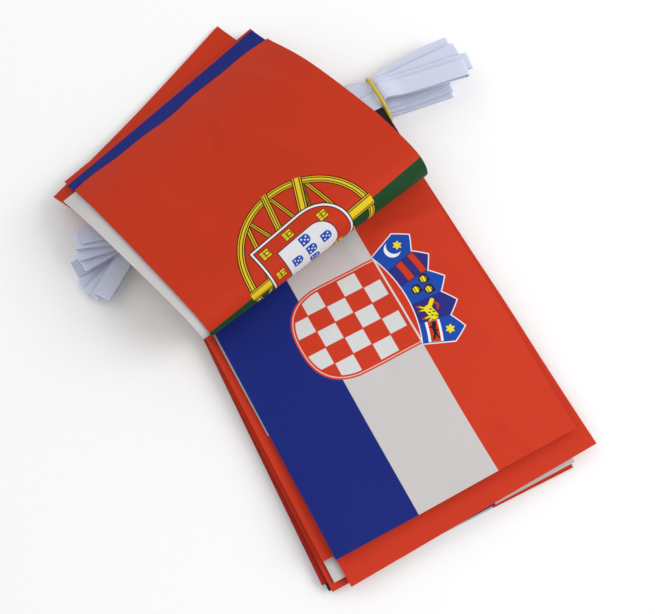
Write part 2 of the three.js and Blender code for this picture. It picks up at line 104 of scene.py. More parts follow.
class Shade:
    """A node's socket in one material. Arithmetic on it adds Math nodes, and node() adds any other node."""

    def __init__(self, tree, socket=None):
        self.tree = tree
        self.socket = socket

    def node(self, kind, settings=None, values=None, out=0):
        made = self.tree.nodes.new(kind)
        for name, value in (settings or {}).items():
            setattr(made, name, value)
        for name, value in (values or {}).items():
            if isinstance(value, Shade):
                self.tree.links.new(value.socket, made.inputs[name])
            else:
                made.inputs[name].default_value = value
        return Shade(self.tree, made.outputs[out])

    def math(self, operation, *others):
        return self.node("ShaderNodeMath", {"operation": operation}, dict(enumerate([self, *others])))

    def __add__(self, other):
        return self.math("ADD", other)

    __radd__ = __add__

    def __sub__(self, other):
        return self.math("SUBTRACT", other)

    def __rsub__(self, other):
        return self.math("MULTIPLY_ADD", -1.0, other)

    def __mul__(self, other):
        return self.math("MULTIPLY", other)

    __rmul__ = __mul__

    def __truediv__(self, other):
        return self.math("DIVIDE", other)

    def __neg__(self):
        return self.math("MULTIPLY", -1.0)

    def __abs__(self):
        return self.math("ABSOLUTE")

    def __pow__(self, other):
        return self.math("POWER", other)

    def least(self, other):
        return self.math("MINIMUM", other)

    def most(self, other):
        return self.math("MAXIMUM", other)

    def under(self, edge=0.0, soft=0.3):
        """1 where the value is less than `edge`, 0 where it is more, over a soft step"""
        settings = {"operation": "MULTIPLY_ADD", "use_clamp": True}
        return self.node("ShaderNodeMath", settings, {0: self, 1: -1 / soft, 2: 0.5 + edge / soft})

    def printed(self, colour, mask):
        """This colour with another one printed over it where the mask is 1"""
        settings = {"data_type": "RGBA", "blend_type": "MIX"}
        return self.node("ShaderNodeMix", settings, {0: mask, 6: self, 7: colour}, out=2)

    def noise(self, size, detail=2.0, stretch=(1, 1, 1)):
        """Uneven values about 0.5 on this vector, with spots about `size` metres across"""
        scaled = self.node("ShaderNodeMapping", None, {0: self, 3: stretch})
        values = {"Vector": scaled, "Scale": 0.5 / size, "Detail": detail}
        return scaled.node("ShaderNodeTexNoise", None, values)

    def between(self, low, high):
        """A colour between two others, by this value from 0 to 1"""
        return self.node("ShaderNodeMix", {"data_type": "RGBA"}, {0: self, 6: low, 7: high}, 2)


def painted(name):
    """A new material, its surface shader, and an empty Shade to add its nodes with"""
    material = bpy.data.materials.new(name)
    material.use_nodes = True
    shader = material.node_tree.nodes["Principled BSDF"]
    return material, shader, Shade(material.node_tree)


def rgb(red, green, blue):
    """A colour as it looks on a screen, 0 to 255, as the linear one of a material"""
    def linear(value):
        share = value / 255
        return share / 12.92 if share <= 0.04045 else ((share + 0.055) / 1.055) ** 2.4

    return (linear(red), linear(green), linear(blue), 1.0)


def roughened(material, shader, height, strength):
    """Bumps on a material's surface, from their height in metres"""
    bump = height.node("ShaderNodeBump", None, {"Strength": strength, "Distance": 1.0, "Height": height})
    material.node_tree.links.new(bump.socket, shader.inputs["Normal"])


FLOOR_WIDTH = 3.0

bpy.ops.mesh.primitive_plane_add(size=FLOOR_WIDTH)
floor = bpy.context.object
floor.name = "white_card"
card, card_shader, shade = painted("white_card")
place = shade.node("ShaderNodeTexCoord", out=3)
grain = place.noise(0.002, 3.0)
tone = grain.between(rgb(246, 246, 247), rgb(249, 249, 249))
card.node_tree.links.new(tone.socket, card_shader.inputs["Base Color"])
card_shader.inputs["Roughness"].default_value = 0.9
floor.data.materials.append(card)


# Cloth of the flags: thin polyester, woven so fine that it reads as a silky grain, printed right
# through, and cut with a hot blade, so its edges are bare. The header end goes under the ribbon.
FLAG_WIDTH = 140
FLAG_LENGTH = 210
UNDER_RIBBON = 3.5
CLOTH_THICKNESS = 0.45
PITCH = 1.3
LAYER_MIDDLE = 0.5
CLOTH_CELL = 2.5
CLOTH_SMOOTH = math.radians(50)
THREAD_GAP = 0.5

RED = rgb(199, 55, 30)
# Red of the loose roll's flags: darker than RED as painted shade, for the roll's upper arm that slopes away
# from the light
PAINTED_SHADE_RED = rgb(188, 50, 22)
BLUE = rgb(21, 36, 118)
WHITE = rgb(199, 195, 195)
CHECK_WHITE = rgb(209, 211, 211)
GREEN = rgb(20, 67, 32)
YELLOW = rgb(236, 216, 40)
BLACK = rgb(36, 29, 30)
DARK_RED = rgb(166, 36, 28)


def ease(share):
    """0 to 1 with a soft start and end"""
    t = np.clip(share, 0, 1)
    return t * t * (3 - 2 * t)


def mesh_points(mesh):
    """The places of a mesh's vertices, as rows of an array"""
    places = np.empty(len(mesh.vertices) * 3)
    mesh.vertices.foreach_get("co", places)
    return places.reshape(-1, 3)


def woven_sheet(piece, points, cut, thickness):
    """Lays a flat grid on its folds, with the cut cloth's own places as its UV map, and makes it thick"""
    mesh = piece.data
    corners = np.empty(len(mesh.loops), dtype=int)
    mesh.loops.foreach_get("vertex_index", corners)
    mesh.uv_layers[0].data.foreach_set("uv", (cut * mm)[corners].ravel())
    mesh.vertices.foreach_set("co", (points * mm + np.array(stack_corner)).ravel())
    mesh.update()
    thicken = piece.modifiers.new("thickness", "SOLIDIFY")
    thicken.thickness = thickness * mm
    thicken.offset = 0
    bpy.ops.object.modifier_apply(modifier=thicken.name)


def face_outward():
    """Turns all faces of the piece at hand outward"""
    bpy.ops.object.mode_set(mode="EDIT")
    bpy.ops.mesh.select_all(action="SELECT")
    bpy.ops.mesh.normals_make_consistent(inside=False)
    bpy.ops.object.mode_set(mode="OBJECT")


def cloth_piece(name, place, material, wide=FLAG_WIDTH):
    """A flag of dense square cells. `place` gives its points from the cloth's own ones, all in millimetres"""
    bpy.ops.object.select_all(action="DESELECT")
    length = FLAG_LENGTH + UNDER_RIBBON
    bpy.ops.mesh.primitive_grid_add(
        x_subdivisions=round(wide / CLOTH_CELL),
        y_subdivisions=round(length / CLOTH_CELL),
        size=1,
    )
    piece = bpy.context.object
    piece.name = name
    piece.data.name = name
    flat = mesh_points(piece.data) + 0.5
    across = flat[:, 0] * wide
    down = FLAG_LENGTH - flat[:, 1] * length
    points = np.stack(place(across, down), 1)
    woven_sheet(piece, points, np.stack([across, down], 1), CLOTH_THICKNESS)
    face_outward()
    bpy.ops.object.shade_smooth_by_angle(angle=CLOTH_SMOOTH)
    piece.data.materials.append(material)
    return piece


def cut_places(shade):
    """Places on the cut cloth: its UV map in metres, and millimetres across and along it"""
    flat = shade.node("ShaderNodeUVMap", {"uv_map": "UVMap"})
    scaled = flat.node("ShaderNodeVectorMath", {"operation": "SCALE"}, {0: flat, 3: 1 / mm})
    across = scaled.node("ShaderNodeSeparateXYZ", None, {0: scaled})
    along = Shade(across.tree, across.socket.node.outputs[1])
    return flat, across, along


def toned(colour, tone):
    """A colour made lighter or darker"""
    return colour.node("ShaderNodeVectorMath", {"operation": "SCALE"}, {0: colour, 3: tone})


def cloth_material(name, print_colour):
    """Polyester cloth. `print_colour` gives its colour from millimetres across and down from the header"""
    material, shader, shade = painted(name)
    flat, across, down = cut_places(shade)
    colour = print_colour(across, down)

    cloudy = flat.noise(0.03, 2.0)
    speckle = flat.noise(0.0007, 1.0, (1.0, 0.6, 1.0))
    colour = toned(colour, 0.935 + cloudy * 0.06 + speckle * 0.07)
    links = material.node_tree.links
    links.new(colour.socket, shader.inputs["Base Color"])

    # Fine threads both ways, and a slack surface between them
    warp = (across * (2 * math.pi / THREAD_GAP)).math("SINE")
    weft = (down * (2 * math.pi / THREAD_GAP)).math("SINE")
    threads = warp * weft * 0.012 * mm + speckle * 0.05 * mm + flat.noise(0.012, 2.0) * 0.5 * mm
    roughened(material, shader, threads, 0.45)
    rough = 0.5 + speckle * 0.16
    links.new(rough.socket, shader.inputs["Roughness"])
    shader.inputs["Sheen Weight"].default_value = 0.03
    shader.inputs["Sheen Roughness"].default_value = 0.4
    shader.inputs["Specular IOR Level"].default_value = 0.12
    return material


def plain(colour):
    """A flag of one colour"""
    def colours(across, down):
        return (across * 0.0).between(colour, colour)
    return colours


def bars(first, second, third, edges, lengthwise):
    """A flag of three bars that meet at two edges, from the left if lengthwise, or from the header"""
    def colours(across, down):
        way = across if lengthwise else down
        start = plain(third)(across, down)
        return start.printed(second, way.under(edges[1])).printed(first, way.under(edges[0]))
    return colours


# Tricolour with a checked shield: the top flag of the flat stack. The shield lies on its side, its top
# toward the red bar, and wears a crown of five small shields, all of it outlined in white.
SHIELD_TOP = 93
SHIELD_MIDDLE = 103.4
SHIELD_HALF = 26.9
SHIELD_BEND = 62
SHIELD_ROUND = 27.5
CHECK_ALONG = 11.1
CHECK_ACROSS = 9.85
OUTLINE = rgb(226, 180, 165)
ARMS_BLUE = rgb(26, 72, 168)
ARMS_DARK = rgb(42, 44, 126)

# The crown's shields fan about one point under the checks: their angles in degrees, radii in mm
CROWN_CENTRE = 28.4
CROWN_FOOT = 70.4
CROWN_VALLEY = 87.0
CROWN_PEAK = 93.0
CROWN_SHIELD = 9.2
CROWN_HALF = 22.9
CROWN_WHITE = rgb(238, 238, 240)
MOON_WHITE = rgb(236, 236, 240)


def checks_and_crown(across, down):
    """The print of this flag, from the shield up to the small figures of its crown"""
    x = across
    y = (FLAG_LENGTH - SHIELD_MIDDLE) - down
    colour = bars(BLUE, WHITE, RED, (47, 93), True)(across, down)

    # Shield
    along = (SHIELD_BEND - x).most(0.0) / SHIELD_ROUND
    side = abs(y) / SHIELD_HALF
    rim = ((along ** 2.5 + side ** 2.5) ** 0.4 - 1.0) * SHIELD_HALF
    on_shield = rim.under(0) * x.under(SHIELD_TOP)
    inner = rim.most(x - SHIELD_TOP)
    colour = colour.printed(RED, on_shield)
    colour = colour.printed(OUTLINE, on_shield * (abs(rim + 1.1)).under(0.3))
    row = (SHIELD_TOP - 1.2 - x) / CHECK_ALONG
    column = y / CHECK_ACROSS + 0.5
    gap = 0.045
    row_part = row.math("FRACT")
    column_part = column.math("FRACT")
    odd = (row.math("FLOOR") + column.math("FLOOR")).math("MODULO", 2.0).math("ABSOLUTE")
    in_row = (abs(row_part - 0.5)).under(0.5 - gap / 2, 0.03)
    in_cell = in_row * (abs(column_part - 0.5)).under(0.5 - gap / 2, 0.03)
    colour = colour.printed(CHECK_WHITE, odd * in_cell * (inner + 2.3).under(0))
    foot = (abs(x - SHIELD_TOP - 0.2)).under(0.5) * abs(y).under(SHIELD_HALF)
    colour = colour.printed(CHECK_WHITE, foot)

    # Crown, in degrees from its middle shield and millimetres from its centre
    dx = x - CROWN_CENTRE
    angle = y.math("ARCTAN2", dx) * (180 / math.pi)
    radius = (dx * dx + y * y).math("SQRT")
    turn = angle / CROWN_SHIELD
    number = turn.math("ROUND").most(-2).least(2)
    ridge = CROWN_PEAK - abs(turn - number) * (2 * (CROWN_PEAK - CROWN_VALLEY))
    edge = (radius - ridge) * 0.75
    ends = (abs(angle) - CROWN_HALF) * 1.4
    outside = edge.most(ends).most(CROWN_FOOT - radius)
    ahead = (-x).under(-SHIELD_TOP)
    in_crown = outside.under(0.2) * ahead
    colour = colour.printed(CROWN_WHITE, outside.under(0.75) * ahead)
    odd_shield = number.math("MODULO", 2.0).math("ABSOLUTE").under(0.5)
    field = plain(ARMS_DARK)(x, y).printed(ARMS_BLUE, odd_shield)
    colour = colour.printed(field, in_crown)

    def spot(px, py, reach):
        """A round dot"""
        return (((x - px) ** 2.0 + (y - py) ** 2.0).math("SQRT")).under(reach)

    def star(px, py, reach):
        """A star with six points"""
        sx = x - px
        sy = y - py
        far = (sx * sx + sy * sy).math("SQRT")
        point = (sy.math("ARCTAN2", sx) * (6 / (2 * math.pi))).math("FRACT")
        return (far - (reach - (abs(point - 0.5) * 2.0 * -1.0 + 1.0) * reach * 0.45)).under(0)

    def stroke(ax, ay, bx, by, half):
        """A short thick line with round ends"""
        lx, ly = bx - ax, by - ay
        sx = x - ax
        sy = y - ay
        share = (sx * (lx / (lx * lx + ly * ly)) + sy * (ly / (lx * lx + ly * ly))).most(0.0).least(1.0)
        ox = sx - share * lx
        oy = sy - share * ly
        return ((ox * ox + oy * oy).math("SQRT")).under(half)

    # Star and moon
    colour = colour.printed(YELLOW, star(108.4, 27.3, 2.6))
    moon = spot(104.9, 26.4, 4.6) * (1 - spot(106.8, 27.6, 4.5))
    colour = colour.printed(MOON_WHITE, moon * in_crown)
    # Two red bars
    on_second = (abs(angle - CROWN_SHIELD)).under(4.2)
    bar_pair = (abs(radius - 77.6)).under(1.95).most((abs(radius - 85.5)).under(1.75))
    edge_pair = (abs(radius - 77.6)).under(2.25).most((abs(radius - 85.5)).under(2.05))
    colour = colour.printed(BLACK, (abs(angle - CROWN_SHIELD)).under(4.45) * edge_pair)
    colour = colour.printed(RED, on_second * bar_pair)
    # Three heads
    for px, py in ((111.2, 4.0), (104.9, 0.5), (110.9, -2.5)):
        ears = stroke(px + 1.4, py + 1.6, px + 1.9, py - 1.6, 1.0)
        colour = colour.printed(BLACK, spot(px, py, 2.7).most(ears))
        stripes = (abs(x - px - 0.2)).math("MODULO", 1.1).under(0.7)
        colour = colour.printed(YELLOW, spot(px - 0.2, py - 0.1, 1.8) * stripes)
    # Goat
    goat_parts = (
        (104.9, -12.2, 105.8, -16.8, 2.2),
        (105.6, -11.8, 109.0, -8.8, 1.15),
        (104.2, -11.6, 100.9, -8.6, 0.45),
        (104.0, -12.4, 100.6, -11.0, 0.45),
        (105.4, -16.6, 100.5, -15.9, 0.5),
        (106.2, -17.4, 102.4, -18.0, 0.45),
    )
    for grown, ink in ((0.45, BLACK), (0, YELLOW)):
        body = None
        for ax, ay, bx, by, half in goat_parts:
            limb = stroke(ax, ay, bx, by, half + grown)
            body = limb if body is None else body.most(limb)
        colour = colour.printed(ink, body)
    for px, py in ((105.6, -12.6), (104.2, -13.9), (106.4, -14.6), (104.8, -15.9), (106.6, -17.2)):
        colour = colour.printed(BLACK, stroke(px, py, px + 0.7, py - 0.5, 0.32))
    horns = stroke(109.6, -10.8, 110.6, -12.4, 0.55).most(stroke(110.6, -12.4, 109.4, -14.4, 0.5))
    hooves = stroke(100.4, -8.4, 101.0, -8.9, 0.5).most(stroke(100.0, -11.0, 100.6, -11.0, 0.5))
    colour = colour.printed(RED, horns.most(hooves).most(stroke(99.9, -15.8, 100.6, -15.9, 0.5)))
    # Red bar edged with white, with a black marten, under a star
    on_last = (abs(angle + 2 * CROWN_SHIELD)).under(4.3)
    colour = colour.printed(CROWN_WHITE, on_last * (abs(radius - 77.2)).under(3.9))
    colour = colour.printed(RED, on_last * (abs(radius - 77.2)).under(2.6))
    marten = stroke(103.6, -20.4, 102.2, -22.6, 1.1).most(stroke(102.2, -22.6, 101.6, -25.6, 0.9))
    for ax, ay, bx, by, half in (
        (101.6, -25.6, 99.4, -27.8, 0.6),
        (101.8, -25.0, 102.0, -28.6, 0.45),
        (102.4, -22.2, 100.6, -21.4, 0.45),
        (102.0, -23.6, 103.6, -24.8, 0.4),
    ):
        marten = marten.most(stroke(ax, ay, bx, by, half))
    colour = colour.printed(BLACK, marten)
    return colour.printed(YELLOW, star(109.5, -27.2, 2.6))


# Flat stack: nine flags on the floor, the checked shield on top. Each lies a little turned and shifted on
# the one below, and they wave softly toward their free ends, more so up the stack.
LOWER_FLAGS = (
    ("flag_black_yellow_red", FLAG_WIDTH, 0.3, bars(BLACK, YELLOW, RED, (70, 140), False)),
    ("flag_green_left", FLAG_WIDTH, -2.1, bars(GREEN, WHITE, RED, (47, 93), True)),
    ("flag_dark_red_left", FLAG_WIDTH, -2.1, bars(DARK_RED, WHITE, DARK_RED, (35, 105), True)),
    ("flag_red_blue_white", FLAG_WIDTH, -0.8, bars(RED, BLUE, WHITE, (47, 93), True)),
    ("flag_white_corner", FLAG_WIDTH, -0.3, plain(WHITE)),
    ("flag_red_field", 145, 1.26, plain(RED)),
    ("flag_red_left", FLAG_WIDTH, -0.5, bars(RED, WHITE, RED, (47, 93), True)),
    ("flag_white_third", FLAG_WIDTH, 0.3, bars(GREEN, WHITE, RED, (70, 140), False)),
    ("flag_red_white_blue", FLAG_WIDTH, 0.0, checks_and_crown),
)


CREASE_FADE = 8


def crease(x, y, start, end, reach, height):
    """A soft ridge between two points of a flag, or a trough if the height is negative, fading at its ends"""
    line = np.array(end) - np.array(start)
    size = math.hypot(*line)
    line = line / size
    run = (x - start[0]) * line[0] + (y - start[1]) * line[1]
    off = (x - start[0]) * line[1] - (y - start[1]) * line[0]
    ends = ease(run / CREASE_FADE + 0.5) * ease((size - run) / CREASE_FADE + 0.5)
    return height * np.exp(-((off / reach) ** 2)) * ends


# Creases pressed into single flags, on their places in the stack
STACK_CREASES = {
    "flag_red_white_blue": (
        ((107, 20), (118, -2), 2.6, 0.8),
        ((84, 146), (93, 96), 3.4, 0.7),
        ((60, 40), (75, 90), 6, -0.3),
        ((101, 143), (141, 137), 3.4, 0.8),
        ((128, 60), (112, 100), 5, 0.5),
    ),
    "flag_red_field": (((16, -5), (25, -15), 2.6, 0.5),),
}


WAVE_LENGTH = 118
WAVE_ACROSS = 96
WAVES_FROM = 128
WAVES_OVER = 68
WAVE_GROWTH = 0.14


def stack_wave(x, y):
    """Height of the soft waves, before they grow up the stack"""
    rows = 1 + np.cos(2 * math.pi * (y + 0.35 * x - 12) / WAVE_LENGTH)
    columns = 1 + 0.5 * np.cos(2 * math.pi * (x - 0.3 * y) / WAVE_ACROSS)
    return rows * columns * ease((WAVES_FROM - y) / WAVES_OVER)


HEADER_SINKS = 0.24
HEADER_SINKS_FROM = 11
HEADER_SINKS_OVER = 9


def header_dip(down):
    """The header end sinks under the ribbon that is sewn over it"""
    return -HEADER_SINKS * ease((HEADER_SINKS_FROM - down) / HEADER_SINKS_OVER)


for layer, (name, wide, turn, print_colour) in enumerate(LOWER_FLAGS):
    low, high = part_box(name)
    middle = ((low + high) / 2 - stack_corner) / mm
    along = math.radians(turn)

    def laid(across, down):
        side = across - wide / 2
        ahead = FLAG_LENGTH / 2 - down
        x = middle.x + side * math.cos(along) - ahead * math.sin(along)
        y = middle.y + side * math.sin(along) + ahead * math.cos(along)
        loose = 0.16 * np.sin(x / 17 + 2.1 * layer) * np.sin(y / 23 + 1.3 * layer)
        wave = layer * WAVE_GROWTH * stack_wave(x, y) + loose
        for start, end, reach, height in STACK_CREASES.get(name, ()):
            wave = wave + crease(x, y, start, end, reach, height)
        return x, y, layer * PITCH + LAYER_MIDDLE + wave + header_dip(down)

    material = cloth_material(name.replace("flag", "print"), print_colour)
    piece = cloth_piece(name.replace("flag", "cloth"), laid, material, wide)
    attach(piece, "root")
    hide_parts(name)
    below = LOWER_FLAGS[layer - 1][0].replace("flag", "cloth") if layer else "white_card"
    flat_size = (wide * mm, (FLAG_LENGTH + UNDER_RIBBON) * mm)


# Emblem of the green and red flag: a shield on a sphere of yellow hoops, astride the edge of the green.
# About half of it goes down behind the fold. Its places are millimetres across and down from the header.
GREEN_END = 83.4
SPHERE_ACROSS = 67.7
SPHERE_ROUND = 39.3
HOOP = 4.4
HOOP_LINE = rgb(50, 24, 14)
HOOP_YELLOW = rgb(222, 192, 32)
RIM_WHITE = rgb(226, 226, 228)
HEART_WHITE = rgb(212, 214, 220)
DOT_WHITE = rgb(236, 236, 240)
SHIELD_ROUNDNESS = 2.2
CASTLE_SHARE = 1.15


def sphere_and_shield(across, down):
    """The print of this flag: the sphere's straps and hoops first, then the shield over them"""
    x = across - SPHERE_ACROSS
    y = down - GREEN_END
    # The red ground is the roll's darker red, painted shade
    colour = plain(PAINTED_SHADE_RED)(across, down).printed(GREEN, y.under(0))
    far = (x * x + y * y).math("SQRT")

    def hoop(colour, distance, half, within=None):
        """A yellow strap outlined in brown, with a line near each edge, or along its middle if it is thin"""
        inside = 1.0 if within is None else within
        band = distance.under(half)
        colour = colour.printed(HOOP_LINE, band * inside)
        colour = colour.printed(HOOP_YELLOW, distance.under(half - 0.6, 0.25) * inside)
        between = half - 1.35 if half > 1.7 else 0
        lines = (abs(distance - between)).under(0.28, 0.25)
        return colour.printed(HOOP_LINE, lines * inside)

    def line_distance(ax, ay, bx, by):
        """Distance from the line through two points"""
        lx, ly = bx - ax, by - ay
        size = math.hypot(lx, ly)
        return abs((x - ax) * (ly / size) - (y - ay) * (lx / size))

    in_sphere = far.under(SPHERE_ROUND - HOOP + 0.6)
    # Straps across the sphere, thin ones first
    for ax, ay, bx, by, half in (
        (-15.2, 30.9, -12.4, 18.0, 1.3),
        (1.0, 34.9, 3.2, 18.0, 1.3),
        (17.6, 29.0, 13.2, 18.9, 1.0),
        (19.8, 28.8, 21.8, 10.8, 1.35),
        (-16.5, 35.8, -22.2, 17.6, 1.45),
    ):
        colour = hoop(colour, line_distance(ax, ay, bx, by), half, in_sphere)
    colour = hoop(colour, abs(far - (SPHERE_ROUND - HOOP / 2)), HOOP / 2)
    for ax, ay, bx, by, half in ((-0.3, 39.4, -7.5, 17.1, 2.0), (18.5, 35.9, 8.7, 18.2, 2.7)):
        colour = hoop(colour, line_distance(ax, ay, bx, by), half, far.under(SPHERE_ROUND + 0.2))
    colour = hoop(colour, abs(y), 3.5, far.under(SPHERE_ROUND + 0.4))

    # Shield: white rim, red field, white heart
    def shield(x, y, foot, bend, half, reach):
        """Distance outside a shield with a flat top at the left and a round end at the right"""
        along = (x - bend).most(0.0) / reach
        side = abs(y) / half
        bow = along ** SHIELD_ROUNDNESS + side ** SHIELD_ROUNDNESS
        return ((bow ** (1 / SHIELD_ROUNDNESS) - 1.0) * half).most(foot - x)

    outer = shield(x, y, -26.6, 4.5, 18.9, 20.3)
    colour = colour.printed(HOOP_LINE, outer.under(0.6))
    colour = colour.printed(RIM_WHITE, outer.under(0))
    colour = colour.printed(HOOP_LINE, outer.under(-1.0, 0.25))
    # The shield's red field is the roll's darker red too, painted shade
    colour = colour.printed(PAINTED_SHADE_RED, outer.under(-1.5, 0.25))
    heart = shield(x, y, -15.6, 5.0, 9.8, 10.2)
    colour = colour.printed(HOOP_LINE, heart.under(0.5))
    colour = colour.printed(HEART_WHITE, heart.under(0))

    # Five blue shields with five white dots each
    for px, py in ((-9.6, -0.3), (-0.3, 0), (9.4, 0.4), (-0.7, 6.3), (-0.7, -6.3)):
        sx = x - px
        sy = y - py
        colour = colour.printed(ARMS_BLUE, shield(sx, sy, -2.9, 0.6, 2.5, 2.4).under(0))
        dots = None
        for ox, oy in ((0, 0), (-1.45, 1.15), (-1.45, -1.15), (1.35, 1.0), (1.35, -1.0)):
            dx = sx - ox
            dy = sy - oy
            dot = (dx * dx + dy * dy).math("SQRT").under(0.42)
            dots = dot if dots is None else dots.most(dot)
        colour = colour.printed(DOT_WHITE, dots)

    # Seven castles: a yellow block outlined in brown, with three towers and an arched gate
    castles = (
        (-20.5, 13.6),
        (-5.4, 13.9),
        (14.4, 10.2),
        (-20.3, 0),
        (-20.5, -13.6),
        (-5.4, -13.9),
        (14.4, -10.2),
    )
    for px, py in castles:
        sx = (x - px) * CASTLE_SHARE
        sy = (y - py) * CASTLE_SHARE
        walls = (abs(sx - 0.9) - 1.9).most(abs(sy) - 2.4)
        towers = (abs(sx + 1.8) - 1.2).most(abs(abs(sy) - 1.7) - 0.75)
        keep = (abs(sx + 1.8) - 1.2).most(abs(sy) - 0.6)
        block = walls.least(towers).least(keep)
        colour = colour.printed(HOOP_LINE, block.under(0.4))
        colour = colour.printed(HOOP_YELLOW, block.under(0))
        gate = ((sx - 2.2).most(-0.2 - sx)).most(abs(sy) - 1.0)
        arch = (gate.under(0.35) * (1 - gate.under(-0.15))).most((abs(sx + 0.7)).under(0.2) * block.under(0))
        colour = colour.printed(HOOP_LINE, arch)
    return colour


# Loose roll: five more flags whose header ends lie on the stack. They turn up round a loose bend, slanted
# against the header, and lie back over it, down to the floor behind. The outermost is green and red.
FOLD_X = -3.9
FOLD_Y = 128.1
FOLD_TURN = math.radians(10.3)
HEADER_END = 108
BEND_INSIDE = 6.65
BEND_STEPS = 9
BEND_ACROSS = 12.85
BEND_TURN = 186
ARM_BOTTOM = 17.9
UPPER_ARM = ((20, 6), (20, 6.5), (20, 7.5), (15, 9), (8, 14), (8, 21), (None, 28), (7, 19), (7, 9), (36, 0))
ROLL_STEP = 0.5
ROLL_LEAD = 8
ROLL_SPARE = 60

# Turn in degrees, the header's middle along and across the fold, and how far the left and right corners of
# the free end fall short, because the cloth lies slack
FOLDED_FLAGS = (
    ("flag_green_red", 3.7, 76.2, 68.5, (9.5, 4.5), sphere_and_shield),
    ("flag_white", 5.7, 74.7, 70.5, (9, 11), plain(WHITE)),
    ("flag_blue_edge", 4.1, 76.9, 66.6, (9.2, 0.9), bars(RED, WHITE, BLUE, (70, 140), False)),
    # These two reds are the roll's darker red, painted shade
    ("flag_red_edge", 3.8, 76.1, 66, (9, 3), plain(PAINTED_SHADE_RED)),
    ("flag_long_red", 10, 86.3, 60.6, (12.5, 2.5), bars(BLACK, YELLOW, PAINTED_SHADE_RED, (70, 140), False)),
)

# The outermost flag is pulled out at its right edge, by so much at each place down from the header
BOW_DOWN = (0, 68, 118, 140, 205.5)
BOW_OUT = (0, 4.6, 5.4, 4.1, 0)

# Its creases, by their places across and down from the header
ROLL_CREASES = (
    ((93, 202), (65, 160), 3, -0.7),
    ((78, 176), (100, 121), 4, 0.9),
    ((112, 196), (124, 150), 5, 0.7),
    ((20, 190), (34, 130), 7, 0.6),
)
SLACK_FROM = 125
SLACK_OVER = 85


def roll_line():
    """The inner line of the roll across the fold, in even steps: place, height, and heading"""
    chord = 2 * BEND_INSIDE * math.sin(math.radians(BEND_TURN / BEND_STEPS / 2))
    top = ARM_BOTTOM + BEND_INSIDE - math.cos(math.radians(BEND_TURN)) * BEND_INSIDE
    dropped = sum((length or 0) * math.sin(math.radians(fall)) for length, fall in UPPER_ARM)
    steep = next(fall for length, fall in UPPER_ARM if length is None)
    steep_length = (top - dropped) / math.sin(math.radians(steep))
    lengths = [HEADER_END - BEND_ACROSS] + [chord] * BEND_STEPS
    headings = [0.0] + [BEND_TURN * (step + 0.5) / BEND_STEPS for step in range(BEND_STEPS)]
    lengths += [length or steep_length for length, fall in UPPER_ARM]
    headings += [180 + fall for length, fall in UPPER_ARM]
    ends = np.concatenate([[0], np.cumsum(lengths)])
    middles = (ends[1:] + ends[:-1]) / 2
    middles[0] = ends[1] - 3
    run = np.arange(-ROLL_LEAD, ends[-1] + ROLL_SPARE, ROLL_STEP)
    heading = np.radians(np.interp(run, middles, headings))
    step = ROLL_STEP * 0.5 * (np.cos(heading[1:]) + np.cos(heading[:-1]))
    rise = ROLL_STEP * 0.5 * (np.sin(heading[1:]) + np.sin(heading[:-1]))
    place = HEADER_END + ROLL_LEAD - np.concatenate([[0], np.cumsum(step)])
    height = ARM_BOTTOM + np.concatenate([[0], np.cumsum(rise)])
    return place, height, heading


ROLL_PLACE, ROLL_HEIGHT, ROLL_HEADING = roll_line()


def from_fold(along, across):
    """A place in the flat stack, from its place along and across the fold"""
    x = FOLD_X + along * math.cos(FOLD_TURN) - across * math.sin(FOLD_TURN)
    y = FOLD_Y + along * math.sin(FOLD_TURN) + across * math.cos(FOLD_TURN)
    return x, y


def on_roll(layer, along, run):
    """A point on one flag of the roll, counted from the outermost, by its place along the fold and its run"""
    offset = (len(FOLDED_FLAGS) - 1 - layer) * PITCH + LAYER_MIDDLE
    place = ROLL_PLACE - np.sin(ROLL_HEADING) * offset
    height = ROLL_HEIGHT - np.cos(ROLL_HEADING) * offset
    own_run = np.concatenate([[0], np.cumsum(np.hypot(np.diff(place), np.diff(height)))]) - ROLL_LEAD
    across = np.interp(run, own_run, place)
    inner = np.interp(run, own_run, ROLL_PLACE)
    on_upper = np.interp(run, own_run, np.degrees(ROLL_HEADING)) > 120
    lengthwise = (1 + np.cos(2 * math.pi * (along - 108) / 130)) / 2
    swell = 1.6 * ease((inner - 5) / 30) * ease((112 - inner) / 40) * lengthwise
    z = np.interp(run, own_run, height) + on_upper * swell
    return *from_fold(along, across), z


for layer, (name, turn, along_middle, across_middle, slack, print_colour) in enumerate(FOLDED_FLAGS):
    slant = math.radians(turn)

    def rolled(across, down):
        share = across / FLAG_WIDTH
        bow = np.interp(down, BOW_DOWN, BOW_OUT) if layer == 0 else 0
        side = across - FLAG_WIDTH / 2 + bow * share ** 2
        taken_up = slack[0] + (slack[1] - slack[0]) * share
        if layer == 0:
            taken_up = taken_up - 0.8 * np.sin(9.5 * share + 0.6) - 0.5 * np.sin(23 * share)
        down = np.where(down > SLACK_FROM, down - taken_up * ease((down - SLACK_FROM) / SLACK_OVER), down)
        along = along_middle + side * math.cos(slant) - down * math.sin(slant)
        run = HEADER_END - across_middle + side * math.sin(slant) + down * math.cos(slant)
        x, y, z = on_roll(layer, along, run)
        for start, end, reach, height in ROLL_CREASES if layer == 0 else ():
            z = z + crease(across, down, start, end, reach, height)
        return x, y, z + header_dip(down)

    material = cloth_material(name.replace("flag", "print"), print_colour)
    piece = cloth_piece(name.replace("flag", "cloth"), rolled, material)
    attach(piece, "root")
    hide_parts(name)
    next_in = FOLDED_FLAGS[layer + 1][0] if layer + 1 < len(FOLDED_FLAGS) else "flag_red_white_blue"
    flat_size = (FLAG_WIDTH * mm, (FLAG_LENGTH + UNDER_RIBBON) * mm)


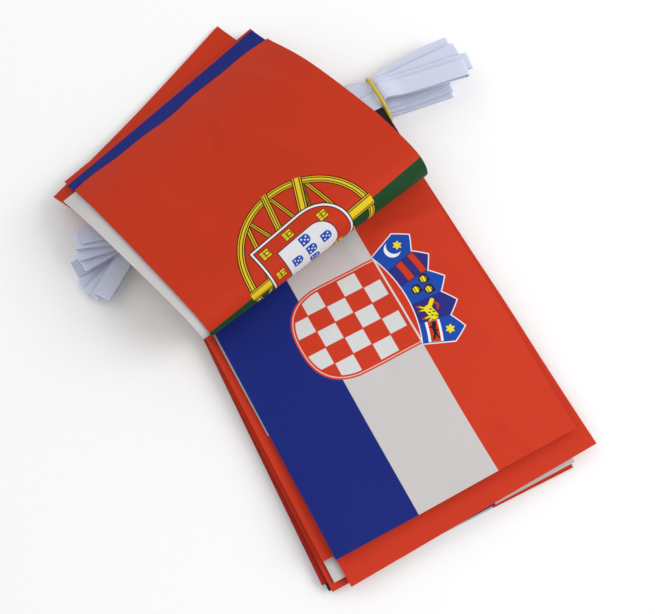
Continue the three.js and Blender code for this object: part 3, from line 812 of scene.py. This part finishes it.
# Header ribbon: one white woven ribbon, sewn over the header end of every flag, back and forth up the
# stack. Beside the header it runs out flat, each run over the last, and comes back in a flat-folded loop.
RIBBON_WIDTH = 10
RIBBON_THICKNESS = 0.45
FROM_EDGE = 5.3
RUNS = len(LOWER_FLAGS) + len(FOLDED_FLAGS)
TURN_LENGTH = 10
RIBBON_CELLS = 6
RIBBON_WHITE = rgb(201, 207, 228)
STITCH_WHITE = rgb(196, 198, 220)
RIB_GAP = 1.25
PICK_GAP = 0.6
SEAM_IN = 1.6
STITCH_LENGTH = 2.4

RIGHT = {"side": 1, "neck": 144.6, "square_to": 156.6, "lift": 1.9, "climb_from": 140.3, "climb": 4.3}
LEFT = {"side": -1, "neck": -26, "square_to": -16, "lift": 0, "climb_from": 0, "climb": 1}
DESCEND = 12

# Loops from the lowest pair of runs up: place across the header at the neck, tip, and for a curved loop its
# headings in degrees at the neck and at the tip. The last number opens the tip
RIGHT_LOOPS = (
    (207.8, 183.5, 202.2, None, None, 0),
    (208.5, 184, 204.4, None, None, 0),
    (210.2, 184, 208.2, None, None, 0),
    (219.8, 194.5, 223.7, 17, -5, 0),
    (217.8, 195.5, 217.5, None, None, 0),
    (215.5, 197.5, 207.5, None, None, 0),
    (212, 191.6, 203, None, None, 1.6),
)
LEFT_LOOPS = (
    (196, -49.5, 191.8, None, None, 0),
    (194, -47.5, 186, None, None, 0),
    (193.1, -43, 181.5, None, None, 0),
    (203.1, -44.4, 201.7, None, None, 0),
    (204.4, -44, 207.5, None, None, 0),
    (207, -42, 213, None, None, 0),
)
LOWEST_END = (205.6, -50.2, 204.5, None, None, 0)
HIGHEST_END = (210.3, -39, 214, None, None, 0)


def header_edges():
    """Middle of each flag's header edge from the floor up, half its width, and the way along it"""
    edges = []
    for name, wide, turn, _ in LOWER_FLAGS:
        low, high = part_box(name)
        middle = ((low + high) / 2 - stack_corner) / mm
        angle = math.radians(turn)
        x = middle.x - FLAG_LENGTH / 2 * math.sin(angle)
        y = middle.y + FLAG_LENGTH / 2 * math.cos(angle)
        edges.append((x, y, wide / 2, angle))
    for name, turn, along, across, _, _ in FOLDED_FLAGS:
        edges.append((*from_fold(along, across), FLAG_WIDTH / 2, FOLD_TURN - math.radians(turn)))
    return edges


EDGES = header_edges()


def header_exit(bundle, run):
    """Where a run leaves the header, no farther out than the start of the climb"""
    x, y, half, angle = EDGES[run]
    side = bundle["side"]
    out_x = x + side * half * math.cos(angle) - FROM_EDGE * math.sin(angle)
    out_y = y + side * half * math.sin(angle) + FROM_EDGE * math.cos(angle)
    over = max(side * (out_x - bundle["climb_from"]), 0) if bundle["lift"] else 0
    return out_x - side * over * math.cos(angle), out_y - side * over * math.sin(angle)


def cubic(start, end, slope_start, slope_end, length, t):
    """A smooth line from one value to another with a given slope at each end"""
    first = (2 * t ** 3 - 3 * t ** 2 + 1) * start + (t ** 3 - 2 * t ** 2 + t) * length * slope_start
    return first + (3 * t ** 2 - 2 * t ** 3) * end + (t ** 3 - t ** 2) * length * slope_end


def leg_frames(bundle, run, loop, rises):
    """A run's way out from the header to the start of its tip: its middles, and the directions across it"""
    side = bundle["side"]
    neck_y, tip_x, tip_y, leave, arrive, opened = loop
    exit_x, exit_y = header_exit(bundle, run)
    straight = (tip_y - neck_y) / (tip_x - bundle["neck"])
    leave = straight if leave is None else math.tan(math.radians(leave))
    arrive = straight if arrive is None else math.tan(math.radians(arrive))

    def y_at(x):
        if side * (x - bundle["neck"]) <= 0:
            length = bundle["neck"] - exit_x
            return cubic(exit_y, neck_y, math.tan(EDGES[run][3]), leave, length, (x - exit_x) / length)
        length = tip_x - bundle["neck"]
        return cubic(neck_y, tip_y, leave, arrive, length, (x - bundle["neck"]) / length)

    frames = []
    places = list(np.linspace(exit_x, bundle["square_to"], 20)[1:])
    places += list(np.linspace(bundle["square_to"], tip_x, 15)[1:])
    for x in places:
        past = side * (x - bundle["climb_from"])
        climbed = float(ease(past / bundle["climb"]) * (1 - ease((past - bundle["climb"]) / DESCEND)))
        slope = (y_at(x + 0.05) - y_at(x - 0.05)) / 0.1
        turned = float(ease(side * (x - bundle["square_to"]) / TURN_LENGTH))
        flared = float(ease((x - bundle["square_to"]) / (tip_x - bundle["square_to"])))
        z = run * PITCH + LAYER_MIDDLE + bundle["lift"] * climbed + (opened * flared if rises else 0)
        across = np.array([-slope * turned, 1, 0])
        frames.append((np.array([x, y_at(x), z]), across / np.linalg.norm(across)))
    return frames


def tip_frames(lower, before, upper, steps=10):
    """The round end of a loop, from the end of its lower leg to the end of its upper one"""
    out = lower[0] - before[0]
    out[2] = 0
    out = out / np.linalg.norm(out)
    middle = (lower[0] + upper[0]) / 2
    radius = (upper[0][2] - lower[0][2]) / 2
    frames = []
    for angle in np.linspace(0, math.pi, steps + 1)[1:-1]:
        centre = middle + out * radius * math.sin(angle) - np.array([0, 0, radius * math.cos(angle)])
        frames.append((centre, lower[1]))
    return frames


def ribbon_frames():
    """The ribbon's whole way: run after run along the header, joined by loops, right and left in turn"""
    frames = []

    def header_run(run, first, second):
        angle = EDGES[run][3]
        start = np.array([*header_exit(first, run), run * PITCH + LAYER_MIDDLE])
        end = np.array([*header_exit(second, run), run * PITCH + LAYER_MIDDLE])
        for share in np.linspace(0, 1, 9):
            centre = start + (end - start) * share
            frames.append((centre, np.array([-math.sin(angle), math.cos(angle), 0])))

    def join(bundle, run, loop):
        out = leg_frames(bundle, run, loop, False)
        back = leg_frames(bundle, run + 1, loop, True)
        frames.extend(out)
        frames.extend(tip_frames(out[-1], out[-2], back[-1]))
        frames.extend(back[::-1])

    frames.extend(leg_frames(LEFT, 0, LOWEST_END, False)[::-1])
    for run in range(RUNS):
        goes_right = run % 2 == 0
        header_run(run, *((LEFT, RIGHT) if goes_right else (RIGHT, LEFT)))
        if run == RUNS - 1:
            break
        if goes_right:
            join(RIGHT, run, RIGHT_LOOPS[run // 2])
        else:
            join(LEFT, run, LEFT_LOOPS[(run - 1) // 2])
    frames.extend(leg_frames(LEFT, RUNS - 1, HIGHEST_END, False))
    return frames


ribbon_way = ribbon_frames()
ribbon_middles = np.array([centre for centre, _ in ribbon_way])
ribbon_acrosses = np.array([across for _, across in ribbon_way])
ribbon_steps = np.linalg.norm(np.diff(ribbon_middles, axis=0), axis=1)
ribbon_run = np.concatenate([[0], np.cumsum(ribbon_steps)])

bpy.ops.object.select_all(action="DESELECT")
bpy.ops.mesh.primitive_grid_add(x_subdivisions=RIBBON_CELLS, y_subdivisions=len(ribbon_way) - 1, size=1)
ribbon = bpy.context.object
ribbon.name = "header_ribbon"
flat = mesh_points(ribbon.data) + 0.5
number = np.rint(flat[:, 1] * (len(ribbon_way) - 1)).astype(int)
sideways = (flat[:, 0] - 0.5) * RIBBON_WIDTH
points = ribbon_middles[number] + ribbon_acrosses[number] * sideways[:, None]
points[:, 2] = np.maximum(points[:, 2], RIBBON_THICKNESS / 2)
cut = np.stack([sideways + RIBBON_WIDTH / 2, ribbon_run[number]], 1)
woven_sheet(ribbon, points, cut, RIBBON_THICKNESS)
bpy.ops.object.shade_smooth_by_angle(angle=CLOTH_SMOOTH)

woven, woven_shader, shade = painted("woven_ribbon")
flat_place, width, length = cut_places(shade)
ribs = (width * (2 * math.pi / RIB_GAP)).math("SINE")
picks = (length * (2 * math.pi / PICK_GAP)).math("SINE")
fuzz = flat_place.noise(0.0006, 2.0)
blotch = flat_place.noise(0.02, 2.0)
seam = (abs(width - SEAM_IN)).under(0.28)
stitches = seam * (length * (2 * math.pi / STITCH_LENGTH)).math("SINE").under(0.5, 0.6)
ribbon_colour = plain(RIBBON_WHITE)(width, length).printed(STITCH_WHITE, stitches * 0.5)
ribbon_colour = toned(ribbon_colour, 0.93 + ribs * 0.018 + fuzz * 0.06 + blotch * 0.05)
woven.node_tree.links.new(ribbon_colour.socket, woven_shader.inputs["Base Color"])
weave = ribs * 0.05 * mm + picks * 0.015 * mm + fuzz * 0.06 * mm + stitches * 0.06 * mm
roughened(woven, woven_shader, weave, 0.5)
woven_shader.inputs["Roughness"].default_value = 0.55
woven_shader.inputs["Sheen Weight"].default_value = 0.25
ribbon.data.materials.append(woven)
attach(ribbon, "root")
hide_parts("header_tape")


# Rubber band: cut from yellow rubber tube, a little flattened, stretched round the loops next to the flags.
BAND_WIDTH = 2.0
BAND_THICKNESS = 0.9
BAND_X = 142.9
BAND_Z = 10.5
BAND_LEAN = math.radians(12)
BAND_CLEAR = 0.7
BAND_TURNS = 160
BAND_SECTION = 12
BAND_PALE = rgb(226, 198, 28)
BAND_DEEP = rgb(196, 166, 10)
RING_TUBE = 0.25


def ribbon_at_band():
    """Corners of the runs of ribbon where the leaning band goes round them, in the band's own plane"""
    found = []
    for run in range(RUNS):
        for centre, _ in leg_frames(RIGHT, run, RIGHT_LOOPS[run // 2], False):
            band_x = BAND_X - (centre[2] - BAND_Z) * math.tan(BAND_LEAN)
            if abs(centre[0] - band_x) < BAND_WIDTH:
                for side in (-1, 1):
                    for face in (-1, 1):
                        height = (centre[2] + face * LAYER_MIDDLE - BAND_Z) / math.cos(BAND_LEAN)
                        found.append((centre[1] + side * RIBBON_WIDTH / 2, height))
    return np.array(found)


# The band follows the farthest ribbon corner in every direction, at a steady distance
held = ribbon_at_band()
angles = np.linspace(0, 2 * math.pi, BAND_TURNS, endpoint=False)
facing = np.stack([np.cos(angles), np.sin(angles)], 1)
farthest = held[np.argmax(facing @ held.T, axis=1)]
taut = farthest + facing * (BAND_CLEAR + BAND_THICKNESS / 2)

bpy.ops.object.select_all(action="DESELECT")
bpy.ops.mesh.primitive_torus_add(
    major_segments=BAND_TURNS,
    minor_segments=BAND_SECTION,
    major_radius=1.0,
    minor_radius=RING_TUBE,
)
rubber = bpy.context.object
rubber.name = "yellow_band"
rubber_mesh = rubber.data
ring = mesh_points(rubber_mesh)
around = np.rint(np.arctan2(ring[:, 1], ring[:, 0]) / (2 * math.pi) * BAND_TURNS).astype(int) % BAND_TURNS
out = (np.hypot(ring[:, 0], ring[:, 1]) - 1.0) / RING_TUBE * BAND_THICKNESS / 2
ahead = ring[:, 2] / RING_TUBE * BAND_WIDTH / 2
loop = taut[around] + facing[around] * out[:, None]
ring[:, 0] = BAND_X + ahead * math.cos(BAND_LEAN) - loop[:, 1] * math.sin(BAND_LEAN)
ring[:, 1] = loop[:, 0]
ring[:, 2] = BAND_Z + ahead * math.sin(BAND_LEAN) + loop[:, 1] * math.cos(BAND_LEAN)
ring[:, 2] = np.maximum(ring[:, 2], 0.05)
rubber_mesh.vertices.foreach_set("co", (ring * mm + np.array(stack_corner)).ravel())
rubber_mesh.update()
face_outward()
bpy.ops.object.shade_smooth()

latex, latex_shader, shade = painted("yellow_rubber")
spot_place = shade.node("ShaderNodeTexCoord", out=3)
dust = spot_place.noise(0.0015, 3.0)
band_colour = dust.between(BAND_DEEP, BAND_PALE)
latex.node_tree.links.new(band_colour.socket, latex_shader.inputs["Base Color"])
skin = spot_place.noise(0.0005, 2.0) * 0.06 * mm
roughened(latex, latex_shader, skin, 0.5)
latex_shader.inputs["Roughness"].default_value = 0.45
rubber_mesh.materials.append(latex)
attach(rubber, "root")
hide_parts("rubber_band")
